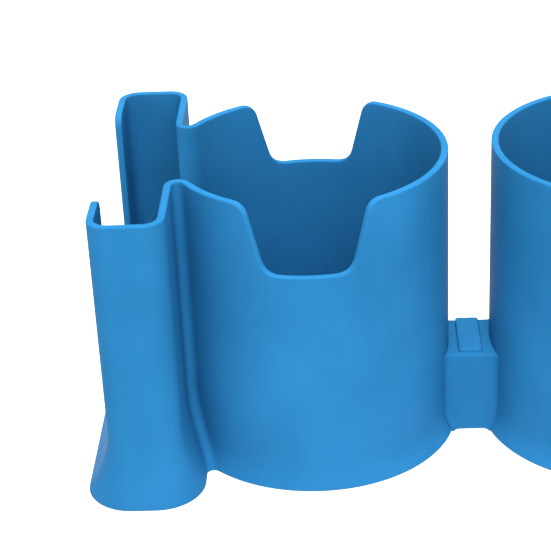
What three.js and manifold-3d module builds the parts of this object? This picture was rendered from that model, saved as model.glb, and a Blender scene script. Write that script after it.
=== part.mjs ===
// A single-row tube rack: five round cups stand side by side and hook together.
// Each cup carries an upright tee rail on its right side, and the block on the left side of the
// next cup drops over that rail from above. A flat key is pressed into the block to lock it.
// The two end cups open into a slotted channel with a flared foot.
// Millimetres, +Z up, +X along the row, origin under the middle of the row on the bench.
import * as THREE from 'three';
import { LoftGeometry } from 'three/addons/geometries/LoftGeometry.js';
import { mergeVertices } from 'three/addons/utils/BufferGeometryUtils.js';
import Module from 'manifold-3d';

const wasm = await Module();
wasm.setup();

// Row and cups
const CUP_COUNT = 5;
const CUP_RADIUS = 17;
const CUP_PITCH = 39.2;
const CUP_HEIGHT = 37.7;
const WALL = 0.9;
const FLOOR = 1.2;
const DRAIN_RADIUS = 6;
const BASE_FLARE = 1.05;
const BASE_FLARE_HEIGHT = 3.4;
const BASE_FLARE_LEVELS = 4;
const CLEARANCE = 0.3;
const OVERSHOOT = 2;

// Front and back notches in each cup's rim
const NOTCH_DEPTH = 8.8;
const NOTCH_TOP_HALF = 7.1;
const NOTCH_BOTTOM_HALF = 4.9;
const NOTCH_TOP_ROUNDING = 1.4;
const NOTCH_BOTTOM_ROUNDING = 2.1;

// Channel at each end of the row, measured from the centre of its cup
const CHANNEL_OUTER_X = 24.8;
const CHANNEL_INNER_X = 15.8;
const CHANNEL_HALF_WIDTH = 20.4;
const CHANNEL_CORNER = 2.6;
const SLOT_HALF_WIDTH = 11.9;
const LIP_CORNER = 1.6;
const PASSAGE_HALF_WIDTH = 7.3;
const NECK_FILLET = 0.8;

// Flared foot under the channel
const FOOT_HEIGHT = 9.5;
const FOOT_OUTER_X = 28.2;
const FOOT_INNER_X = 13.5;
const FOOT_HALF_WIDTH = 21.4;
const FOOT_CORNER = 5.9;
const FOOT_LEVELS = 6;
const FOOT_CURVE = 1.6;

// Tee rail on the right of a cup, measured outwards from the cup's wall
const RAIL_NECK_HALF_WIDTH = 1.4;
const RAIL_HEAD_HALF_WIDTH = 2.8;
const RAIL_HEAD_START = 1.6;
const RAIL_REACH = 2.6;
const RAIL_HEIGHT = 8;

// Block on the left of a cup, and the key that locks it
const BLOCK_HALF_DEPTH = 4.6;
const BLOCK_HEIGHT = 11;
const KEY_WIDTH = 3;
const KEY_PROUD = 0.35;
const KEY_SEAT_DEPTH = 1;
const KEY_FRONT_MARGIN = 0.5;
const TONGUE_THICKNESS = 0.9;
const TONGUE_BOTTOM = 3;

// Facets
const ROUND_SEGMENTS = 48;
const CORNER_SEGMENTS = 4;
const POST_SEGMENTS = 24;
const MERGE_DISTANCE = 1e-4;

const blue = 0x2e8cd0;
const keyBlue = 0x2a85c8;

function plastic(color) {
  return new THREE.MeshStandardMaterial({ color, roughness: 0.42, metalness: 0 });
}

// A closed geometry as a solid that can be joined and cut.
function toSolid(geometry) {
  const bare = new THREE.BufferGeometry();
  bare.setAttribute('position', geometry.attributes.position);
  bare.setIndex(geometry.index);
  const merged = mergeVertices(bare, MERGE_DISTANCE);
  const mesh = new wasm.Mesh({
    numProp: 3,
    vertProperties: Float32Array.from(merged.attributes.position.array),
    triVerts: Uint32Array.from(merged.index.array),
  });
  return new wasm.Manifold(mesh);
}

function toGeometry(solid) {
  const mesh = solid.getMesh();
  const geometry = new THREE.BufferGeometry();
  geometry.setAttribute('position', new THREE.BufferAttribute(mesh.vertProperties, 3));
  geometry.setIndex(new THREE.BufferAttribute(mesh.triVerts, 1));
  geometry.computeVertexNormals();
  return geometry;
}

// A box between two corners.
function block(x0, x1, y0, y1, z0, z1) {
  const geometry = new THREE.BoxGeometry(x1 - x0, y1 - y0, z1 - z0);
  geometry.translate((x0 + x1) / 2, (y0 + y1) / 2, (z0 + z1) / 2);
  return toSolid(geometry);
}

// A flat outline in X and Y, raised from z0 to z1.
function upright(shape, z0, z1) {
  const options = { depth: z1 - z0, bevelEnabled: false, curveSegments: CORNER_SEGMENTS };
  const geometry = new THREE.ExtrudeGeometry(shape, options);
  geometry.translate(0, 0, z0);
  return toSolid(geometry);
}

// An upright round post.
function post(x, y, radius, z0, z1) {
  const geometry = new THREE.CylinderGeometry(radius, radius, z1 - z0, POST_SEGMENTS);
  geometry.rotateX(Math.PI / 2);
  geometry.translate(x, y, (z0 + z1) / 2);
  return toSolid(geometry);
}

// A profile of [radius, height] points turned about the cup's axis.
function turned(profile) {
  const points = profile.map(([radius, height]) => new THREE.Vector2(radius, height));
  const geometry = new THREE.LatheGeometry(points, ROUND_SEGMENTS);
  geometry.rotateX(Math.PI / 2);
  return toSolid(geometry);
}

// How far the cup's base flares out at a height, as a share of the full flare.
function baseFlareAt(height) {
  const left = Math.max(0, 1 - height / BASE_FLARE_HEIGHT);
  return BASE_FLARE * left ** 2;
}

// The cup's outside as a full round, grown by a clearance and started at a given bottom.
function cupRound(growth, bottom) {
  const side = [[CUP_RADIUS + growth + baseFlareAt(0), bottom]];
  for (let level = 1; level <= BASE_FLARE_LEVELS; level += 1) {
    const z = (level / BASE_FLARE_LEVELS) * BASE_FLARE_HEIGHT;
    side.push([CUP_RADIUS + growth + baseFlareAt(z), z]);
  }
  return turned([[0, bottom], ...side, [CUP_RADIUS + growth, CUP_HEIGHT], [0, CUP_HEIGHT]]);
}

// The notch outline, drawn across the row and pushed through the front and back walls.
function notchCut() {
  const top = CUP_HEIGHT;
  const bottom = CUP_HEIGHT - NOTCH_DEPTH;
  const flank = new THREE.Vector2(NOTCH_TOP_HALF - NOTCH_BOTTOM_HALF, NOTCH_DEPTH).normalize();
  const high = flank.clone().multiplyScalar(NOTCH_TOP_ROUNDING);
  const low = flank.clone().multiplyScalar(NOTCH_BOTTOM_ROUNDING);
  const shape = new THREE.Shape();
  shape.moveTo(-NOTCH_TOP_HALF - NOTCH_TOP_ROUNDING, top + OVERSHOOT);
  shape.lineTo(-NOTCH_TOP_HALF - NOTCH_TOP_ROUNDING, top);
  shape.quadraticCurveTo(-NOTCH_TOP_HALF, top, -NOTCH_TOP_HALF + high.x, top - high.y);
  shape.lineTo(-NOTCH_BOTTOM_HALF - low.x, bottom + low.y);
  const flat = NOTCH_BOTTOM_HALF - NOTCH_BOTTOM_ROUNDING;
  shape.quadraticCurveTo(-NOTCH_BOTTOM_HALF, bottom, -flat, bottom);
  shape.lineTo(flat, bottom);
  shape.quadraticCurveTo(NOTCH_BOTTOM_HALF, bottom, NOTCH_BOTTOM_HALF + low.x, bottom + low.y);
  shape.lineTo(NOTCH_TOP_HALF - high.x, top - high.y);
  shape.quadraticCurveTo(NOTCH_TOP_HALF, top, NOTCH_TOP_HALF + NOTCH_TOP_ROUNDING, top);
  shape.lineTo(NOTCH_TOP_HALF + NOTCH_TOP_ROUNDING, top + OVERSHOOT);
  const reach = CUP_RADIUS + OVERSHOOT;
  const options = { depth: 2 * reach, bevelEnabled: false, curveSegments: CORNER_SEGMENTS };
  const geometry = new THREE.ExtrudeGeometry(shape, options);
  geometry.rotateX(Math.PI / 2);
  geometry.translate(0, reach, 0);
  return toSolid(geometry);
}

// Everything that is hollow in a plain cup: the bore, the drain hole and the two notches.
function cupHollow() {
  const bore = turned([
    [0, FLOOR],
    [CUP_RADIUS - WALL, FLOOR],
    [CUP_RADIUS - WALL, CUP_HEIGHT + OVERSHOOT],
    [0, CUP_HEIGHT + OVERSHOOT],
  ]);
  const drain = post(0, 0, DRAIN_RADIUS, -OVERSHOOT, FLOOR + OVERSHOOT);
  return bore.add(drain).add(notchCut());
}

// A rounded rectangle at one height, counterclockwise from above.
function roundedSection(xLow, xHigh, halfWidth, corner, z) {
  const centres = [
    [xHigh - corner, halfWidth - corner],
    [xLow + corner, halfWidth - corner],
    [xLow + corner, -halfWidth + corner],
    [xHigh - corner, -halfWidth + corner],
  ];
  const points = [];
  centres.forEach(([x, y], quarter) => {
    for (let step = 0; step <= CORNER_SEGMENTS; step += 1) {
      const angle = (quarter + step / CORNER_SEGMENTS) * (Math.PI / 2);
      points.push(new THREE.Vector3(x + corner * Math.cos(angle), y + corner * Math.sin(angle), z));
    }
  });
  return points;
}

// The channel and its foot as one lofted column, shrunk all round by an inset.
function channelColumn(inset, zLow, zHigh) {
  const mix = (straight, flared, share) => straight + (flared - straight) * share;
  const sectionAt = (z) => {
    const share = Math.max(0, 1 - Math.max(0, z) / FOOT_HEIGHT) ** FOOT_CURVE;
    const outer = mix(CHANNEL_OUTER_X, FOOT_OUTER_X, share) - inset;
    const inner = mix(CHANNEL_INNER_X, FOOT_INNER_X, share) + inset;
    const half = mix(CHANNEL_HALF_WIDTH, FOOT_HALF_WIDTH, share) - inset;
    const corner = mix(CHANNEL_CORNER, FOOT_CORNER, share) - inset;
    return roundedSection(-outer, -inner, half, corner, z);
  };
  const sections = [];
  if (zLow < 0) sections.push(sectionAt(zLow));
  for (let level = 0; level <= FOOT_LEVELS; level += 1) {
    sections.push(sectionAt((level / FOOT_LEVELS) * FOOT_HEIGHT));
  }
  sections.push(sectionAt(zHigh));
  return toSolid(new LoftGeometry(sections, { capStart: true, capEnd: true }));
}

// Fills the sharp valley between the channel and the cup with a small fillet.
function neckFillet(side) {
  const centreX = -CHANNEL_INNER_X + NECK_FILLET;
  const centreY = Math.sqrt((CUP_RADIUS + NECK_FILLET) ** 2 - centreX ** 2);
  const touch = Math.atan2(-centreY, -centreX);
  const shape = new THREE.Shape();
  shape.moveTo(-CHANNEL_INNER_X - WALL / 2, 0);
  shape.lineTo(-CHANNEL_INNER_X - WALL / 2, side * centreY);
  for (let step = 0; step <= CORNER_SEGMENTS; step += 1) {
    const angle = -Math.PI + ((touch + Math.PI) * step) / CORNER_SEGMENTS;
    const x = centreX + NECK_FILLET * Math.cos(angle);
    const y = centreY + NECK_FILLET * Math.sin(angle);
    shape.lineTo(x, side * y);
  }
  shape.lineTo(centreX, 0);
  return upright(shape, 0, CUP_HEIGHT);
}

// The way through from the bore to the channel, between two round-nosed wall ends.
function passageCut() {
  const outer = -CHANNEL_INNER_X - WALL;
  const inner = -Math.sqrt((CUP_RADIUS - WALL) ** 2 - PASSAGE_HALF_WIDTH ** 2);
  const nose = (inner - outer) / 2;
  const half = PASSAGE_HALF_WIDTH + nose;
  const top = CUP_HEIGHT + OVERSHOOT;
  let cut = block(outer - CLEARANCE, inner + CLEARANCE, -half, half, FLOOR, top);
  for (const side of [-1, 1]) {
    cut = cut.subtract(post((outer + inner) / 2, side * half, nose, 0, top + OVERSHOOT));
  }
  return cut;
}

// The slot between the channel's two lips, rounded where it meets the rim.
function slotCut() {
  const top = CUP_HEIGHT;
  const shape = new THREE.Shape();
  shape.moveTo(-SLOT_HALF_WIDTH - LIP_CORNER, top + OVERSHOOT);
  shape.lineTo(-SLOT_HALF_WIDTH - LIP_CORNER, top);
  shape.quadraticCurveTo(-SLOT_HALF_WIDTH, top, -SLOT_HALF_WIDTH, top - LIP_CORNER);
  shape.lineTo(-SLOT_HALF_WIDTH, FOOT_HEIGHT + LIP_CORNER);
  shape.quadraticCurveTo(-SLOT_HALF_WIDTH, FOOT_HEIGHT, -SLOT_HALF_WIDTH + LIP_CORNER, FOOT_HEIGHT);
  shape.lineTo(SLOT_HALF_WIDTH - LIP_CORNER, FOOT_HEIGHT);
  shape.quadraticCurveTo(SLOT_HALF_WIDTH, FOOT_HEIGHT, SLOT_HALF_WIDTH, FOOT_HEIGHT + LIP_CORNER);
  shape.lineTo(SLOT_HALF_WIDTH, top - LIP_CORNER);
  shape.quadraticCurveTo(SLOT_HALF_WIDTH, top, SLOT_HALF_WIDTH + LIP_CORNER, top);
  shape.lineTo(SLOT_HALF_WIDTH + LIP_CORNER, top + OVERSHOOT);
  const depth = 2 * OVERSHOOT;
  const options = { depth, bevelEnabled: false, curveSegments: CORNER_SEGMENTS };
  const geometry = new THREE.ExtrudeGeometry(shape, options);
  geometry.rotateX(Math.PI / 2);
  geometry.rotateZ(Math.PI / 2);
  geometry.translate(-CHANNEL_OUTER_X - OVERSHOOT, 0, 0);
  return toSolid(geometry);
}

// The tee rail: a neck out of the cup's wall with a wider head.
function rail() {
  const root = CUP_RADIUS - WALL / 2;
  const headStart = CUP_RADIUS + RAIL_HEAD_START;
  const end = CUP_RADIUS + RAIL_REACH;
  const neckHalf = RAIL_NECK_HALF_WIDTH;
  const headHalf = RAIL_HEAD_HALF_WIDTH;
  const neck = block(root, headStart + CLEARANCE, -neckHalf, neckHalf, 0, RAIL_HEIGHT);
  const head = block(headStart, end, -headHalf, headHalf, 0, RAIL_HEIGHT);
  return neck.add(head);
}

// Places along X of the block's cavity and of the key, from the centre of the block's own cup.
const neighbour = -CUP_PITCH;
const cavityStart = neighbour + CUP_RADIUS + RAIL_HEAD_START - CLEARANCE;
const tongueStart = neighbour + CUP_RADIUS + RAIL_REACH + CLEARANCE;
const tongueEnd = tongueStart + TONGUE_THICKNESS;
const cavityEnd = tongueEnd + CLEARANCE;
const keyMiddle = -CUP_PITCH / 2;
const seatFloor = BLOCK_HEIGHT - KEY_SEAT_DEPTH;

// The block itself, before its cavity is cut.
function hookBlock() {
  const start = neighbour + Math.sqrt(CUP_RADIUS ** 2 - BLOCK_HALF_DEPTH ** 2);
  const end = -Math.sqrt((CUP_RADIUS - WALL / 2) ** 2 - BLOCK_HALF_DEPTH ** 2);
  const body = block(start, end, -BLOCK_HALF_DEPTH, BLOCK_HALF_DEPTH, 0, BLOCK_HEIGHT);
  return body.subtract(cupRound(CLEARANCE, -OVERSHOOT).translate([neighbour, 0, 0]));
}

// The tee cavity that drops over the rail, the key's seat and the key's way down.
function hookCavity() {
  const neckHalf = RAIL_NECK_HALF_WIDTH + CLEARANCE;
  const headHalf = RAIL_HEAD_HALF_WIDTH + CLEARANCE;
  const roof = RAIL_HEIGHT + CLEARANCE;
  const seatHalf = KEY_WIDTH / 2 + CLEARANCE;
  const front = -BLOCK_HALF_DEPTH + KEY_FRONT_MARGIN;
  const back = BLOCK_HALF_DEPTH + OVERSHOOT;
  const top = BLOCK_HEIGHT + OVERSHOOT;
  const neckStart = neighbour + CUP_RADIUS;
  const neckEnd = cavityStart + CLEARANCE;
  const neck = block(neckStart, neckEnd, -neckHalf, neckHalf, -OVERSHOOT, roof);
  const head = block(cavityStart, cavityEnd, -headHalf, headHalf, -OVERSHOOT, roof);
  const way = block(tongueStart - CLEARANCE, cavityEnd, -headHalf, headHalf, roof - CLEARANCE, top);
  const seat = block(keyMiddle - seatHalf, keyMiddle + seatHalf, front, back, seatFloor, top);
  return neck.add(head).add(way).add(seat);
}

// A cup joined to its channel, with the channel's own hollow taken out.
function channelledCup() {
  const outside = cupRound(0, 0).add(channelColumn(0, 0, CUP_HEIGHT));
  const filleted = outside.add(neckFillet(-1)).add(neckFillet(1));
  return filleted.subtract(channelColumn(WALL, -OVERSHOOT, CUP_HEIGHT + OVERSHOOT));
}

// Everything that is hollow in an end cup besides its channel.
function endHollow() {
  return cupHollow().add(passageCut()).add(slotCut());
}

// One cup of the row; the last is the mirror image of the first, but hooks on like the others.
function cupSolid(index) {
  const first = index === 0;
  const last = index === CUP_COUNT - 1;
  let outside = first || last ? channelledCup() : cupRound(0, 0);
  let hollow = first || last ? endHollow() : cupHollow();
  if (last) {
    outside = outside.mirror([1, 0, 0]);
    hollow = hollow.mirror([1, 0, 0]);
  }
  if (!first) outside = outside.add(hookBlock().subtract(hookCavity()));
  if (!last) outside = outside.add(rail());
  return outside.subtract(hollow);
}

// The key: a flat head that fills the seat and stands a little proud, and a tongue below it.
function keySolid() {
  const left = keyMiddle - KEY_WIDTH / 2;
  const right = keyMiddle + KEY_WIDTH / 2;
  const front = -BLOCK_HALF_DEPTH + KEY_FRONT_MARGIN + CLEARANCE;
  const bottom = seatFloor + CLEARANCE;
  const top = BLOCK_HEIGHT + KEY_PROUD;
  const head = block(left, right, front, BLOCK_HALF_DEPTH, bottom, top);
  const half = RAIL_HEAD_HALF_WIDTH;
  const tongue = block(tongueStart, tongueEnd, -half, half, TONGUE_BOTTOM, bottom + CLEARANCE);
  return head.add(tongue);
}

function placed(name, solid, color, x) {
  const mesh = new THREE.Mesh(toGeometry(solid), plastic(color));
  mesh.name = name;
  mesh.position.x = x;
  return mesh;
}

function cupName(index) {
  if (index === 0) return 'end_cup_left';
  if (index === CUP_COUNT - 1) return 'end_cup_right';
  return `middle_cup_${index}`;
}

const rack = new THREE.Group();
for (let index = 0; index < CUP_COUNT; index += 1) {
  const x = (index - (CUP_COUNT - 1) / 2) * CUP_PITCH;
  rack.add(placed(cupName(index), cupSolid(index), blue, x));
  if (index > 0) rack.add(placed(`lock_key_${index}`, keySolid(), keyBlue, x));
}

export default rack;
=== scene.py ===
import math

import bmesh
import bpy
import numpy as np
from mathutils import Matrix, Vector


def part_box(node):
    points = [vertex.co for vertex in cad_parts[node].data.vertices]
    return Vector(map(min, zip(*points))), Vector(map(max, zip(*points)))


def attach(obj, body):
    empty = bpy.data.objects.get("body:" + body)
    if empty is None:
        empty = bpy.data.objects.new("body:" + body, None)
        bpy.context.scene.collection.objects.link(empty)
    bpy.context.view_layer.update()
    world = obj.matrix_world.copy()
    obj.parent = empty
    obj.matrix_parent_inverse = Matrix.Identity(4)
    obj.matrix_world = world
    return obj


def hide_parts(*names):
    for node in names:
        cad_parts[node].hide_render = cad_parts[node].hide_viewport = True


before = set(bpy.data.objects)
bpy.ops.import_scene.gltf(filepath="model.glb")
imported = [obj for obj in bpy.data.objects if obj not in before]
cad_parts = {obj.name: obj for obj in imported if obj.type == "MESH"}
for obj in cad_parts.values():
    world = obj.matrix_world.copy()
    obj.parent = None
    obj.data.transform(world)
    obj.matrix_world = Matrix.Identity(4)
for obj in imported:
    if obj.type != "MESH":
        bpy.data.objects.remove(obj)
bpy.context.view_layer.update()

# ---------------------------------------------------------------- sizes, in metres
# The row, a plain cup, an end cup and a key, as the frame has them.
plain_low, plain_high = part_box("middle_cup_2")
end_low, end_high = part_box("end_cup_left")
key_low, key_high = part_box("lock_key_3")
CUP_COUNT = 5
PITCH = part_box("middle_cup_3")[0].x - plain_low.x
FIRST_X = -PITCH * (CUP_COUNT - 1) / 2
HEIGHT = plain_high.z
BASE_RADIUS = plain_high.y
FOOT_OUTER = FIRST_X - end_low.x
FOOT_HALF_WIDTH = end_high.y
BLOCK_HALF_DEPTH = key_high.y
KEY_TOP = key_high.z
TONGUE_BOTTOM = key_low.z
KEY_FRONT = -key_low.y

# Wall and cup
WALL = 0.0009
HALF_WALL = WALL / 2
CUP_RADIUS = 0.017
BASE_FLARE = BASE_RADIUS - CUP_RADIUS
BASE_FLARE_HEIGHT = 0.0034
FLOOR = 0.0012
FLOOR_LIFT = 0.00008
FLOOR_FILLET = 0.0008
DRAIN_RADIUS = 0.006
EDGE_ROUNDING = 0.0003
RIM_CROWN = 0.0003
RIM_SQUARENESS = 0.55

# Notches: places across the row, from the cup's centre
NOTCH_DEPTH = 0.0088
NOTCH_TOP_HALF = 0.0071
NOTCH_BOTTOM_HALF = 0.0049
NOTCH_TOP_ROUNDING = 0.0014
NOTCH_BOTTOM_ROUNDING = 0.0021

# Channel and foot of an end cup, from the cup's centre
CHANNEL_OUTER = 0.0248
CHANNEL_INNER = 0.0158
CHANNEL_HALF_WIDTH = 0.0204
CHANNEL_CORNER = 0.0026
SLOT_HALF_WIDTH = 0.0119
LIP_ROUNDING = 0.0016
NECK_RADIUS = 0.00115
FOOT_HEIGHT = 0.0095
FOOT_INNER = 0.0135
FOOT_CORNER = 0.0059
FOOT_CURVE = 1.6
SILL_ROUNDING = 0.0012
FLOOR_CHORD = 0.0147

# Link: rail, block and key
GAP = 0.0003
SEAM = 0.00002
RAIL_NECK_HALF = 0.0014
RAIL_HEAD_HALF = 0.0028
RAIL_HEAD_START = 0.0016
RAIL_REACH = 0.0026
RAIL_HEIGHT = 0.008
BLOCK_HEIGHT = 0.011
BLOCK_ROUNDING = 0.00035
BLOCK_FILLET = 0.0009
FILLET_TIP = 0.00012
KEY_WIDTH = 0.003
KEY_SEAT_DEPTH = 0.001
KEY_CORNER = 0.0004
TONGUE_THICKNESS = 0.0009
SMALL_BEVEL = 0.00012

# Mesh fineness
STEP = 0.0007
CORNER_STEPS = 9
RIM_STEPS = 12
ROWS = 34
ROW_SPREAD = 1.35
FLARE_LEVELS = 40
FLOOR_STEPS = 144
ROUND_STEPS = 97
END_ROUND_STEPS = 91
SLOT_SIDE_STEPS = 30
CHANNEL_CORNER_STEPS = 17
CHANNEL_FRONT_STEPS = 9
CHANNEL_SIDE_STEPS = 13
NECK_STEPS = 25
EASE_STEPS = 5
FOOT_EDGE_STEPS = 4
BLOCK_END_STEPS = 25
BLOCK_FILLET_STEPS = 9
KEY_CORNER_STEPS = 7
KEY_EASE_STEPS = 6
BEVEL_ANGLE = 40
SHARP_ANGLE = 38

# How the wall's rows of points lean over beside the slot, from the foot up to the lip
LIP_FAN = 0.006
LIP_FAN_BACK = 0.018
LIP_FAN_EASE = 1.5

# Plastic: colours as sRGB, sizes as noise scales
CUP_BLUE = (33, 104, 152)
KEY_BLUE = (34, 105, 153)
CUP_ROUGHNESS = 0.5
KEY_ROUGHNESS = 0.52
CUP_SEED = 3.7
KEY_SEED = 8.1
PLASTIC_IOR = 1.46
GLOSS_LEVEL = 0.012
DRIFT_SCALE = 70
FLOW_SCALE = 220
FLOW_STRETCH = (1, 1, 0.12)
SPECK_SCALE = 560
SPECK_TINT = (0.015, 0.03, 0.035, 1)
GRAIN_SCALE = 900
SKIN_SCALE = 5200
SKIN_STRENGTH = 0.12
SKIN_DEPTH = 0.00008
WAVE_SCALE = 160
WAVE_STRETCH = (1, 1, 0.3)
WAVE_STRENGTH = 0.25
WAVE_DEPTH = 0.0003

# Studio
FLOOR_EXTENT = 6.0
FLOOR_TOP = -0.00002
FLOOR_BOTTOM = -0.01
FLOOR_GLOW = 1.0
FLOOR_SHADE = 0.4
WORLD_STRENGTH = 0.7
LIGHT_AIM_HEIGHT = 0.02
CAMERA_PLACE = (FIRST_X + 0.00535, -0.19586, 0.12306)
CAMERA_AZIMUTH = 2.911
CAMERA_ELEVATION = 27.61
CAMERA_ROLL = -2.888
CAMERA_LENS = 115.22


# ---------------------------------------------------------------- meshes
def new_object(name, mesh):
    made = bpy.data.objects.new(name, mesh)
    bpy.context.scene.collection.objects.link(made)
    return made


def ring_mesh(name, points):
    """A mesh from a grid of points: rings one after the other, joined round in both directions."""
    rings, count, _ = points.shape
    mesh = bpy.data.meshes.new(name)
    faces = []
    for i in range(rings):
        after = (i + 1) % rings
        for j in range(count):
            up = (j + 1) % count
            faces.append((i * count + j, after * count + j, after * count + up, i * count + up))
    mesh.from_pydata(points.reshape(-1, 3).tolist(), [], faces)
    mesh.validate()
    return mesh


def loft_mesh(name, rings):
    """A closed solid through level rings of points, lowest first, each counterclockwise from above."""
    count = len(rings[0])
    verts = [tuple(p) for ring in rings for p in ring]
    faces = [tuple(reversed(range(count)))]
    for level in range(len(rings) - 1):
        low, high = level * count, (level + 1) * count
        for j in range(count):
            k = (j + 1) % count
            faces.append((low + j, low + k, high + k, high + j))
    top = (len(rings) - 1) * count
    faces.append(tuple(range(top, top + count)))
    mesh = bpy.data.meshes.new(name)
    mesh.from_pydata(verts, [], faces)
    mesh.validate()
    return mesh


def box_mesh(name, x0, x1, y0, y1, z0, z1):
    corners = ((x0, y0), (x1, y0), (x1, y1), (x0, y1))
    return loft_mesh(name, [[(x, y, z) for x, y in corners] for z in (z0, z1)])


def applied(thing):
    """Turns an object's modifiers into its mesh."""
    graph = bpy.context.evaluated_depsgraph_get()
    mesh = bpy.data.meshes.new_from_object(thing.evaluated_get(graph))
    thing.modifiers.clear()
    thing.data = mesh
    return thing


def boolean(thing, mesh, operation):
    other = new_object("tool", mesh)
    step = thing.modifiers.new("boolean", "BOOLEAN")
    step.operation = operation
    step.solver = "MANIFOLD"
    step.object = other
    applied(thing)
    bpy.data.objects.remove(other)
    return thing


def bevelled(thing, width, segments=3):
    step = thing.modifiers.new("bevel", "BEVEL")
    step.width = width
    step.segments = segments
    step.limit_method = "ANGLE"
    step.angle_limit = math.radians(BEVEL_ANGLE)
    return applied(thing)


def merged_mesh(name, meshes):
    whole = bmesh.new()
    for mesh in meshes:
        whole.from_mesh(mesh)
    made = bpy.data.meshes.new(name)
    whole.to_mesh(made)
    whole.free()
    return made


def finish_mesh(mesh, x, mirrored):
    """Puts a mesh at its cup, mirrored if it is the right-hand end, and shades it smooth."""
    flip = Matrix.Scale(-1, 4, Vector((1, 0, 0))) if mirrored else Matrix.Identity(4)
    mesh.transform(Matrix.Translation((x, 0, 0)) @ flip)
    if mirrored:
        mesh.flip_normals()
    for face in mesh.polygons:
        face.use_smooth = True
    mesh.set_sharp_from_angle(angle=math.radians(SHARP_ANGLE))
    return mesh


# ---------------------------------------------------------------- the wall of a cup
def arc(centre, radius, start, end, steps, side=1):
    """Points round an arc and the outward way at each; side -1 when outward is to its centre."""
    angles = np.linspace(start, end, steps)
    ways = np.column_stack((np.cos(angles), np.sin(angles)))
    return np.array(centre) + radius * ways, ways * side


def line(start, end, way, steps):
    share = np.linspace(0, 1, steps)[:, None]
    start, end = np.array(start), np.array(end)
    return start + (end - start) * share, np.tile(np.array(way, float), (steps, 1))


def chain(parts):
    points = np.vstack([parts[0][0]] + [p[1:] for p, _ in parts[1:]])
    ways = np.vstack([parts[0][1]] + [w[1:] for _, w in parts[1:]])
    return points, ways


def flare_share(z, height, power):
    return max(0.0, 1 - z / height) ** power


def cup_radius_at(z):
    return CUP_RADIUS + BASE_FLARE * flare_share(z, BASE_FLARE_HEIGHT, 2)


def round_half(z):
    """Half of a plain cup's wall, seen from above: from its left, round the front, to its right."""
    return arc((0, 0), cup_radius_at(z) - HALF_WALL, math.pi, 2 * math.pi, ROUND_STEPS)


def keyhole_half(z):
    """Half of an end cup's wall: slot, lip, front of the channel, neck, front of the cup."""
    share = flare_share(z, FOOT_HEIGHT, FOOT_CURVE)
    outer = CHANNEL_OUTER + (FOOT_OUTER - CHANNEL_OUTER) * share - HALF_WALL
    inner = CHANNEL_INNER + (FOOT_INNER - CHANNEL_INNER) * share + HALF_WALL
    half = CHANNEL_HALF_WIDTH + (FOOT_HALF_WIDTH - CHANNEL_HALF_WIDTH) * share - HALF_WALL
    corner = CHANNEL_CORNER + (FOOT_CORNER - CHANNEL_CORNER) * share - HALF_WALL
    corner = min(corner, (outer - inner) / 2 - EDGE_ROUNDING)
    radius = cup_radius_at(z) - HALF_WALL
    neck_x = -inner + NECK_RADIUS
    neck_y = -math.sqrt((radius + NECK_RADIUS) ** 2 - neck_x ** 2)
    lean = math.atan2(-neck_y, -neck_x)
    bend = -half + corner
    return chain([
        line((-outer, 0), (-outer, bend), (-1, 0), SLOT_SIDE_STEPS),
        arc((-outer + corner, bend), corner, math.pi, 1.5 * math.pi, CHANNEL_CORNER_STEPS),
        line((-outer + corner, -half), (-inner - corner, -half), (0, -1), CHANNEL_FRONT_STEPS),
        arc((-inner - corner, bend), corner, -math.pi / 2, 0, CHANNEL_CORNER_STEPS),
        line((-inner, bend), (-inner, neck_y), (1, 0), CHANNEL_SIDE_STEPS),
        arc((neck_x, neck_y), NECK_RADIUS, math.pi, lean, NECK_STEPS, -1),
        arc((0, 0), radius, math.pi + lean, 2 * math.pi, END_ROUND_STEPS),
    ])


class Sheet:
    """The middle of a thin upright wall that closes on itself: where it runs and which way is out."""

    def __init__(self, half_plan):
        flip = np.array((1, -1))
        self.points, self.ways = [], []
        for level in range(FLARE_LEVELS):
            points, ways = half_plan(FOOT_HEIGHT * level / (FLARE_LEVELS - 1))
            self.points.append(np.vstack((points, points[-2::-1] * flip)))
            self.ways.append(np.vstack((ways, ways[-2::-1] * flip)))
        self.points, self.ways = np.array(self.points), np.array(self.ways)
        steps = np.linalg.norm(np.diff(self.points, axis=1), axis=2)
        self.run = np.concatenate(((0,), np.cumsum(np.maximum(steps[0], steps[-1]))))
        self.length = self.run[-1]

    def at(self, s, z):
        """Points and outward ways at distances s along the wall and heights z."""
        place = np.interp(np.mod(s, self.length), self.run, np.arange(len(self.run)))
        i = np.minimum(place.astype(int), len(self.run) - 2)
        f = (place - i)[..., None]
        level = np.clip(z / FOOT_HEIGHT, 0, 1) * (FLARE_LEVELS - 1)
        j = np.minimum(level.astype(int), FLARE_LEVELS - 2)
        g = (level - j)[..., None]

        def blend(table):
            low = table[j, i] * (1 - f) + table[j, i + 1] * f
            high = table[j + 1, i] * (1 - f) + table[j + 1, i + 1] * f
            return low * (1 - g) + high * g

        points, ways = blend(self.points), blend(self.ways)
        ways = ways / np.linalg.norm(ways, axis=-1, keepdims=True)
        flat = np.zeros(points.shape[:-1] + (1,))
        centre = np.concatenate((points, np.asarray(z, float)[..., None]), axis=-1)
        return centre, np.concatenate((ways, flat), axis=-1)


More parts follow.
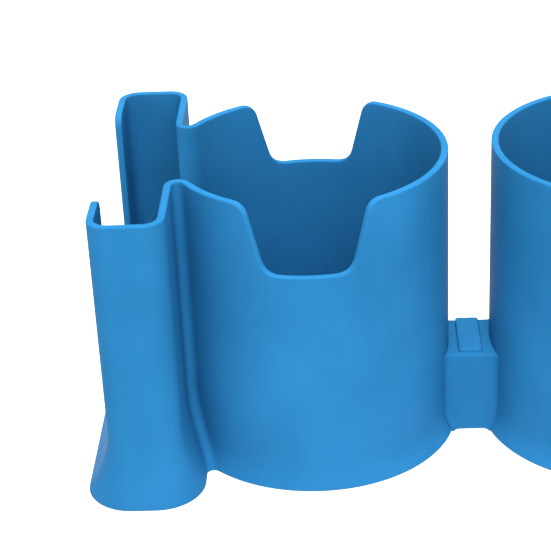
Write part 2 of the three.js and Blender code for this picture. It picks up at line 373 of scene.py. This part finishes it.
def rounded_line(stops):
    """A line through (s, z, rounding) stops, its corners eased and its straights cut into steps."""
    points = []
    for k, (s, z, reach) in enumerate(stops):
        here = np.array((s, z))
        if reach == 0:
            points.append(here)
            continue
        before = np.array(stops[k - 1][:2]) - here
        after = np.array(stops[k + 1][:2]) - here
        start = here + before * reach / np.linalg.norm(before)
        end = here + after * reach / np.linalg.norm(after)
        for t in np.linspace(0, 1, CORNER_STEPS):
            points.append((1 - t) ** 2 * start + 2 * t * (1 - t) * here + t ** 2 * end)
    filled = [points[0]]
    for a, b in zip(points, points[1:]):
        count = max(1, math.ceil(np.linalg.norm(b - a) / STEP))
        filled += [a + (b - a) * k / count for k in range(1, count + 1)]
    return np.array(filled)


def notch_stops(front, end):
    """The top edge from just before the front notch to the end of the half."""
    top = HEIGHT - RIM_CROWN
    bottom = HEIGHT - NOTCH_DEPTH - RIM_CROWN
    radius = CUP_RADIUS - HALF_WALL
    high = radius * math.asin((NOTCH_TOP_HALF + RIM_CROWN) / radius)
    low = radius * math.asin((NOTCH_BOTTOM_HALF + RIM_CROWN) / radius)
    return [
        (front - high, top, NOTCH_TOP_ROUNDING),
        (front - low, bottom, NOTCH_BOTTOM_ROUNDING),
        (front + low, bottom, NOTCH_BOTTOM_ROUNDING),
        (front + high, top, NOTCH_TOP_ROUNDING),
        (end, top, 0),
    ]


def swell(value):
    """Pushes a cosine or sine outwards, so that the rim is a flat band with eased edges."""
    return math.copysign(abs(value) ** RIM_SQUARENESS, value)


def wall_mesh(name, sheet, stops, fan_from=None, fan=0.0):
    """A wall of even thickness with an eased top edge that follows the stops, and an eased foot.

    From fan_from on, the rows of points lean by fan, so that the foot has even faces below the slot.
    """
    half = rounded_line(stops)
    other = half[-2:0:-1] * (-1, 1) + (sheet.length, 0)
    edge = np.vstack((half, other))
    s_top, z_top = edge[:, 0], edge[:, 1]
    shift = np.zeros(len(half))
    if fan:
        standing = np.isclose(half[:, 0], fan_from, atol=1e-6)
        climb = (half[:, 1] - half[standing, 1].min()) / np.ptp(half[standing, 1])
        shift[standing] = fan * climb[standing]
        beyond = half[:, 0] > fan_from + 1e-6
        away = (half[beyond, 0] - fan_from) / LIP_FAN_BACK
        shift[beyond] = fan * np.clip(1 - away, 0, 1) ** LIP_FAN_EASE
    s_low = s_top + np.concatenate((shift, -shift[-2:0:-1]))

    turn = np.linspace(0, math.pi / 2, FOOT_EDGE_STEPS)
    foot_z = EDGE_ROUNDING * (1 - np.cos(turn))
    foot_out = HALF_WALL - EDGE_ROUNDING * (1 - np.sin(turn))
    rise = np.linspace(0, 1, ROWS + 1)[1:] ** ROW_SPREAD
    z = np.concatenate((
        np.tile(foot_z, (len(edge), 1)),
        EDGE_ROUNDING + (z_top[:, None] - EDGE_ROUNDING) * rise,
    ), axis=1)
    out = np.concatenate((foot_out, np.full(ROWS, HALF_WALL)))[:, None]
    s = s_low[:, None] + (s_top - s_low)[:, None] * z / z_top[:, None]
    centre, way = sheet.at(s, z)
    outside, inside = centre + way * out, centre - way * out

    middle, way = sheet.at(s_top, z_top)
    tangent = np.roll(middle, -1, axis=0) - np.roll(middle, 1, axis=0)
    beyond = np.cross(way, tangent)
    beyond /= np.linalg.norm(beyond, axis=1, keepdims=True)
    angles = np.linspace(0, math.pi, RIM_STEPS + 1)[1:-1]
    rim = np.stack([
        middle + way * HALF_WALL * swell(math.cos(a)) + beyond * RIM_CROWN * swell(math.sin(a))
        for a in angles
    ], axis=1)
    return ring_mesh(name, np.concatenate((outside, rim, inside[:, ::-1]), axis=1))


def floor_mesh(name, chord):
    """The cup's floor with its drain hole, filleted up into the bore; chord cuts it off at -X."""
    turn = np.linspace(0, math.pi / 2, EASE_STEPS)
    rings = []
    for angle in np.linspace(0, 2 * math.pi, FLOOR_STEPS, endpoint=False):
        reach = cup_radius_at(FLOOR) - HALF_WALL
        edge = cup_radius_at(FLOOR + FLOOR_FILLET) - WALL + FLOOR_LIFT
        fillet = FLOOR_FILLET
        if chord and math.cos(angle) < 0:
            limit = chord / -math.cos(angle)
            fillet = float(np.clip(limit - edge, FLOOR_LIFT, FLOOR_FILLET))
            reach, edge = min(reach, limit), min(edge, limit - FLOOR_LIFT)
        ease = EDGE_ROUNDING
        low, bend, hole = FLOOR_LIFT, FLOOR + fillet, DRAIN_RADIUS + ease
        profile = [(reach - ease + ease * math.sin(a), low + ease - ease * math.cos(a)) for a in turn]
        profile.append((reach, bend))
        profile += [(edge - fillet + fillet * math.cos(a), bend - fillet * math.sin(a)) for a in turn]
        profile += [(hole - ease * math.sin(a), FLOOR - ease + ease * math.cos(a)) for a in turn]
        profile += [(hole - ease * math.cos(a), low + ease - ease * math.sin(a)) for a in turn]
        rings.append([(r * math.cos(angle), r * math.sin(angle), z) for r, z in profile])
    return ring_mesh(name, np.array(rings))


# ---------------------------------------------------------------- the link between two cups
def arc_points(centre, radius, start, end, steps):
    points, _ = arc(centre, radius, start, end, steps)
    return [tuple(p) for p in points]


def block_outline(half, own_radius, next_radius):
    """The hook block seen from above: hollow ends that follow both cups, with small fillets."""
    near = next_radius + FILLET_TIP + BLOCK_FILLET
    far = own_radius + BLOCK_FILLET
    rise = half + BLOCK_FILLET
    near_x = -PITCH + math.sqrt(near ** 2 - rise ** 2)
    far_x = -math.sqrt(far ** 2 - rise ** 2)
    near_angle = math.atan2(rise, near_x + PITCH)
    far_angle = math.atan2(rise, -far_x)
    buried = own_radius - HALF_WALL
    right = math.pi / 2
    ends, corners = BLOCK_END_STEPS, BLOCK_FILLET_STEPS
    return (
        arc_points((-PITCH, 0), next_radius, near_angle, -near_angle, ends)
        + arc_points((near_x, -rise), BLOCK_FILLET, math.pi - near_angle, right, corners)
        + arc_points((far_x, -rise), BLOCK_FILLET, right, far_angle, corners)
        + arc_points((0, 0), buried, math.pi + far_angle, math.pi - far_angle, ends)
        + arc_points((far_x, rise), BLOCK_FILLET, -far_angle, -right, corners)
        + arc_points((near_x, rise), BLOCK_FILLET, -right, -math.pi + near_angle, corners)
    )


def block_levels():
    """(height, inset) pairs up the block, with eased bottom and top edges."""
    turn = np.linspace(0, math.pi / 2, EASE_STEPS)
    small, large = EDGE_ROUNDING / 2, BLOCK_ROUNDING
    levels = [(small * (1 - math.cos(a)), small * (1 - math.sin(a))) for a in turn]
    levels += [(BASE_FLARE_HEIGHT * share, 0) for share in (0.25, 0.5, 0.75, 1)]
    top = BLOCK_HEIGHT - large
    levels += [(top + large * math.sin(a), large * (1 - math.cos(a))) for a in turn]
    return levels


def hook_block():
    """The block with the tee cavity that drops over the rail, the key's seat and its way down."""
    rings = []
    for z, inset in block_levels():
        own, other = cup_radius_at(z), cup_radius_at(z) + SEAM
        outline = block_outline(BLOCK_HALF_DEPTH - inset, own, other)
        rings.append([(x, y, z) for x, y in outline])
    block = new_object("block", loft_mesh("block", rings))
    rail_x = -PITCH + CUP_RADIUS
    head_x = rail_x + RAIL_HEAD_START - GAP
    neck, head = RAIL_NECK_HALF + GAP, RAIL_HEAD_HALF + GAP
    roof, tongue_x = RAIL_HEIGHT + GAP, rail_x + RAIL_REACH + GAP
    cavity_end = tongue_x + TONGUE_THICKNESS + GAP
    seat, seat_floor = KEY_WIDTH / 2 + SEAM, BLOCK_HEIGHT - KEY_SEAT_DEPTH
    middle, above = -PITCH / 2, BLOCK_HEIGHT + GAP
    cuts = [
        (rail_x - GAP, head_x + GAP, -neck, neck, -GAP, roof),
        (head_x, cavity_end, -head, head, -GAP, roof),
        (tongue_x - GAP, cavity_end, -head, head, roof - GAP, above),
        (middle - seat, middle + seat, -KEY_FRONT - SEAM, BLOCK_HALF_DEPTH + GAP, seat_floor, above),
    ]
    for cut in cuts:
        boolean(block, box_mesh("cut", *cut), "DIFFERENCE")
    mesh = block.data
    bpy.data.objects.remove(block)
    return mesh


def rail_mesh():
    """The tee rail: a neck out of the wall with a wider head."""
    root, head = CUP_RADIUS - HALF_WALL, CUP_RADIUS + RAIL_HEAD_START
    end, neck, wide = CUP_RADIUS + RAIL_REACH, RAIL_NECK_HALF, RAIL_HEAD_HALF
    outline = [
        (root, -neck), (head, -neck), (head, -wide), (end, -wide),
        (end, wide), (head, wide), (head, neck), (root, neck),
    ]
    rings = [[(x, y, z) for x, y in outline] for z in (0, RAIL_HEIGHT)]
    rail = new_object("rail", loft_mesh("rail", rings))
    mesh = bevelled(rail, SMALL_BEVEL).data
    bpy.data.objects.remove(rail)
    return mesh


def rounded_rectangle(x0, x1, y0, y1, corner, inset):
    x0, x1, y0, y1 = x0 + inset, x1 - inset, y0 + inset, y1 - inset
    corner = max(corner - inset, SMALL_BEVEL / 2)
    points = []
    for k, (x, y) in enumerate(((x1, y1), (x0, y1), (x0, y0), (x1, y0))):
        way = ((-1, -1), (1, -1), (1, 1), (-1, 1))[k]
        centre = (x + way[0] * corner, y + way[1] * corner)
        start, end = k * math.pi / 2, (k + 1) * math.pi / 2
        points += arc_points(centre, corner, start, end, KEY_CORNER_STEPS)
    return points


def key_mesh():
    """The flat key: a rounded strip that stands a little proud, with a tongue below it."""
    left, right = -PITCH / 2 - KEY_WIDTH / 2, -PITCH / 2 + KEY_WIDTH / 2
    bottom = BLOCK_HEIGHT - KEY_SEAT_DEPTH + SEAM
    ease = KEY_TOP - BLOCK_HEIGHT
    turn = np.linspace(0, math.pi / 2, KEY_EASE_STEPS)
    levels = [(bottom, 0)]
    levels += [(KEY_TOP - ease + ease * math.sin(a), ease * (1 - math.cos(a))) for a in turn]
    rings = []
    for z, inset in levels:
        outline = rounded_rectangle(left, right, -KEY_FRONT, BLOCK_HALF_DEPTH, KEY_CORNER, inset)
        rings.append([(x, y, z) for x, y in outline])
    head = loft_mesh("key_head", rings)
    start, wide = -PITCH + CUP_RADIUS + RAIL_REACH + GAP, RAIL_HEAD_HALF
    blade = box_mesh("tongue", start, start + TONGUE_THICKNESS, -wide, wide, TONGUE_BOTTOM, bottom + GAP)
    tongue = new_object("tongue", blade)
    tongue_mesh = bevelled(tongue, SMALL_BEVEL).data
    bpy.data.objects.remove(tongue)
    return merged_mesh("key", [head, tongue_mesh])


# ---------------------------------------------------------------- pieces
def plain_stops(sheet):
    return [(0, HEIGHT - RIM_CROWN, 0)] + notch_stops(sheet.length / 4, sheet.length / 2)


def end_stops(sheet):
    top, sill = HEIGHT - RIM_CROWN, FOOT_HEIGHT - RIM_CROWN
    slot = SLOT_HALF_WIDTH + RIM_CROWN
    radius = CUP_RADIUS - HALF_WALL
    front = sheet.length / 2 - radius * math.pi / 2
    return [(0, sill, 0), (slot, sill, SILL_ROUNDING), (slot, top, LIP_ROUNDING)] + notch_stops(
        front, sheet.length / 2)


def cup_mesh(index):
    is_end = index in (0, CUP_COUNT - 1)
    if is_end:
        sheet = Sheet(keyhole_half)
        wall = wall_mesh("wall", sheet, end_stops(sheet), SLOT_HALF_WIDTH + RIM_CROWN, LIP_FAN)
    else:
        sheet = Sheet(round_half)
        wall = wall_mesh("wall", sheet, plain_stops(sheet))
    return wall, floor_mesh("floor", FLOOR_CHORD if is_end else None)


def make_cup(index, material):
    last = index == CUP_COUNT - 1
    x = FIRST_X + index * PITCH
    meshes = [finish_mesh(mesh, x, last) for mesh in cup_mesh(index)]
    if not last:
        meshes.append(finish_mesh(rail_mesh(), x, False))
    if index > 0:
        meshes.append(finish_mesh(hook_block(), x, False))
    name = {0: "end_cup_left", CUP_COUNT - 1: "end_cup_right"}.get(index, f"middle_cup_{index}")
    piece = new_object(name + "_moulding", merged_mesh(name, meshes))
    piece.data.materials.append(material)
    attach(piece, name)
    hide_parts(name)
    return piece


def make_key(index, material):
    name = f"lock_key_{index}"
    piece = new_object(name + "_strip", finish_mesh(key_mesh(), FIRST_X + index * PITCH, False))
    piece.data.materials.append(material)
    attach(piece, name)
    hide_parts(name)
    return piece


# ---------------------------------------------------------------- materials
def linear(color):
    return tuple(((c / 255 + 0.055) / 1.055) ** 2.4 for c in color) + (1,)


def moulded_plastic(name, base, roughness, seed):
    """Satin moulded plastic: slow colour drift, a fine skin, faint upright flow marks and specks."""
    material = bpy.data.materials.new(name)
    material.use_nodes = True
    nodes, links = material.node_tree.nodes, material.node_tree.links
    shader = nodes["Principled BSDF"]
    shader.inputs["IOR"].default_value = PLASTIC_IOR
    shader.inputs["Specular IOR Level"].default_value = GLOSS_LEVEL
    coordinates = nodes.new("ShaderNodeTexCoord")

    def noise(scale, detail, stretch=(1, 1, 1)):
        mapping = nodes.new("ShaderNodeMapping")
        mapping.inputs["Location"].default_value = (seed, seed / 2, seed / 3)
        mapping.inputs["Scale"].default_value = stretch
        links.new(coordinates.outputs["Object"], mapping.inputs["Vector"])
        texture = nodes.new("ShaderNodeTexNoise")
        texture.inputs["Scale"].default_value = scale
        texture.inputs["Detail"].default_value = detail
        links.new(mapping.outputs["Vector"], texture.inputs["Vector"])
        return texture.outputs["Fac"]

    def ramp(source, low, high, start, end):
        made = nodes.new("ShaderNodeValToRGB")
        made.color_ramp.elements[0].position, made.color_ramp.elements[1].position = low, high
        made.color_ramp.elements[0].color, made.color_ramp.elements[1].color = start, end
        links.new(source, made.inputs["Fac"])
        return made.outputs["Color"]

    deep = tuple(c * 0.9 for c in base[:3]) + (1,)
    pale = tuple(min(1, c * 1.06 + 0.002) for c in base[:3]) + (1,)
    drift = ramp(noise(DRIFT_SCALE, 3), 0.3, 0.7, deep, pale)
    dim, bright = (0.97, 0.97, 0.97, 1), (1.03, 1.03, 1.03, 1)
    flow = ramp(noise(FLOW_SCALE, 4, FLOW_STRETCH), 0.35, 0.75, dim, bright)
    specks = nodes.new("ShaderNodeTexVoronoi")
    specks.inputs["Scale"].default_value = SPECK_SCALE
    links.new(coordinates.outputs["Object"], specks.inputs["Vector"])
    dust = ramp(specks.outputs["Distance"], 0.03, 0.08, SPECK_TINT, (0, 0, 0, 1))

    def mix(way, first, second):
        made = nodes.new("ShaderNodeMix")
        made.data_type, made.blend_type = "RGBA", way
        made.inputs["Factor"].default_value = 1
        links.new(first, made.inputs["A"])
        links.new(second, made.inputs["B"])
        return made.outputs["Result"]

    links.new(mix("ADD", mix("MULTIPLY", drift, flow), dust), shader.inputs["Base Color"])

    gloss = nodes.new("ShaderNodeMapRange")
    gloss.inputs["To Min"].default_value = roughness - 0.06
    gloss.inputs["To Max"].default_value = roughness + 0.08
    links.new(noise(GRAIN_SCALE, 5), gloss.inputs["Value"])
    links.new(gloss.outputs["Result"], shader.inputs["Roughness"])

    skin = nodes.new("ShaderNodeBump")
    skin.inputs["Strength"].default_value = SKIN_STRENGTH
    skin.inputs["Distance"].default_value = SKIN_DEPTH
    links.new(noise(SKIN_SCALE, 4), skin.inputs["Height"])
    wave = nodes.new("ShaderNodeBump")
    wave.inputs["Strength"].default_value = WAVE_STRENGTH
    wave.inputs["Distance"].default_value = WAVE_DEPTH
    links.new(noise(WAVE_SCALE, 2, WAVE_STRETCH), wave.inputs["Height"])
    links.new(skin.outputs["Normal"], wave.inputs["Normal"])
    links.new(wave.outputs["Normal"], shader.inputs["Normal"])
    return material


# ---------------------------------------------------------------- floor, light and camera
def make_floor():
    size = FLOOR_EXTENT
    mesh = box_mesh("bench", -size, size, -size, size, FLOOR_BOTTOM, FLOOR_TOP)
    bench = new_object("bench", mesh)
    material = bpy.data.materials.new("pale_bench")
    material.use_nodes = True
    shader = material.node_tree.nodes["Principled BSDF"]
    shader.inputs["Base Color"].default_value = (FLOOR_SHADE, FLOOR_SHADE, FLOOR_SHADE, 1)
    shader.inputs["Roughness"].default_value = 1
    shader.inputs["Specular IOR Level"].default_value = 0
    shader.inputs["Emission Color"].default_value = (1, 1, 1, 1)
    shader.inputs["Emission Strength"].default_value = FLOOR_GLOW
    mesh.materials.append(material)


def make_world(strength):
    world = bpy.data.worlds.new("studio")
    world.use_nodes = True
    world.node_tree.nodes["Background"].inputs["Color"].default_value = (1, 1, 1, 1)
    world.node_tree.nodes["Background"].inputs["Strength"].default_value = strength
    bpy.context.scene.world = world


def softbox(name, place, aim, size, power):
    data = bpy.data.lights.new(name, "AREA")
    data.shape = "SQUARE"
    data.size = size
    data.energy = power
    light = new_object(name, data)
    light.location = place
    light.rotation_euler = (Vector(aim) - Vector(place)).to_track_quat("-Z", "Y").to_euler()


def make_camera(place, azimuth, elevation, roll, lens):
    """A camera that looks along +Y at azimuth 0, raised by its elevation and turned by its roll."""
    a, e = math.radians(azimuth), math.radians(elevation)
    back = Vector((math.sin(a) * math.cos(e), -math.cos(a) * math.cos(e), math.sin(e)))
    right = Vector((math.cos(a), math.sin(a), 0))
    level = Matrix((right, back.cross(right), back)).transposed()
    turned = level @ Matrix.Rotation(math.radians(roll), 3, "Z")
    data = bpy.data.cameras.new("camera")
    data.lens = lens
    data.clip_start, data.clip_end = 0.01, 20
    camera = new_object("camera", data)
    camera.matrix_world = Matrix.Translation(place) @ turned.to_4x4()
    bpy.context.scene.camera = camera


blue = moulded_plastic("cup_plastic", linear(CUP_BLUE), CUP_ROUGHNESS, CUP_SEED)
key_blue = moulded_plastic("key_plastic", linear(KEY_BLUE), KEY_ROUGHNESS, KEY_SEED)
for cup_index in range(CUP_COUNT):
    make_cup(cup_index, blue)
    if cup_index:
        make_key(cup_index, key_blue)

make_floor()
make_world(WORLD_STRENGTH)
link_x = FIRST_X + PITCH / 2
softbox("top_light", (link_x, 0.0, 0.7), (link_x, 0, LIGHT_AIM_HEIGHT), 0.25, 8.2)
softbox("front_light", (FIRST_X + 0.1, -0.7, 0.45), (FIRST_X, 0, LIGHT_AIM_HEIGHT), 0.5, 5.0)
make_camera(CAMERA_PLACE, CAMERA_AZIMUTH, CAMERA_ELEVATION, CAMERA_ROLL, CAMERA_LENS)
bpy.context.scene.view_settings.view_transform = "Standard"
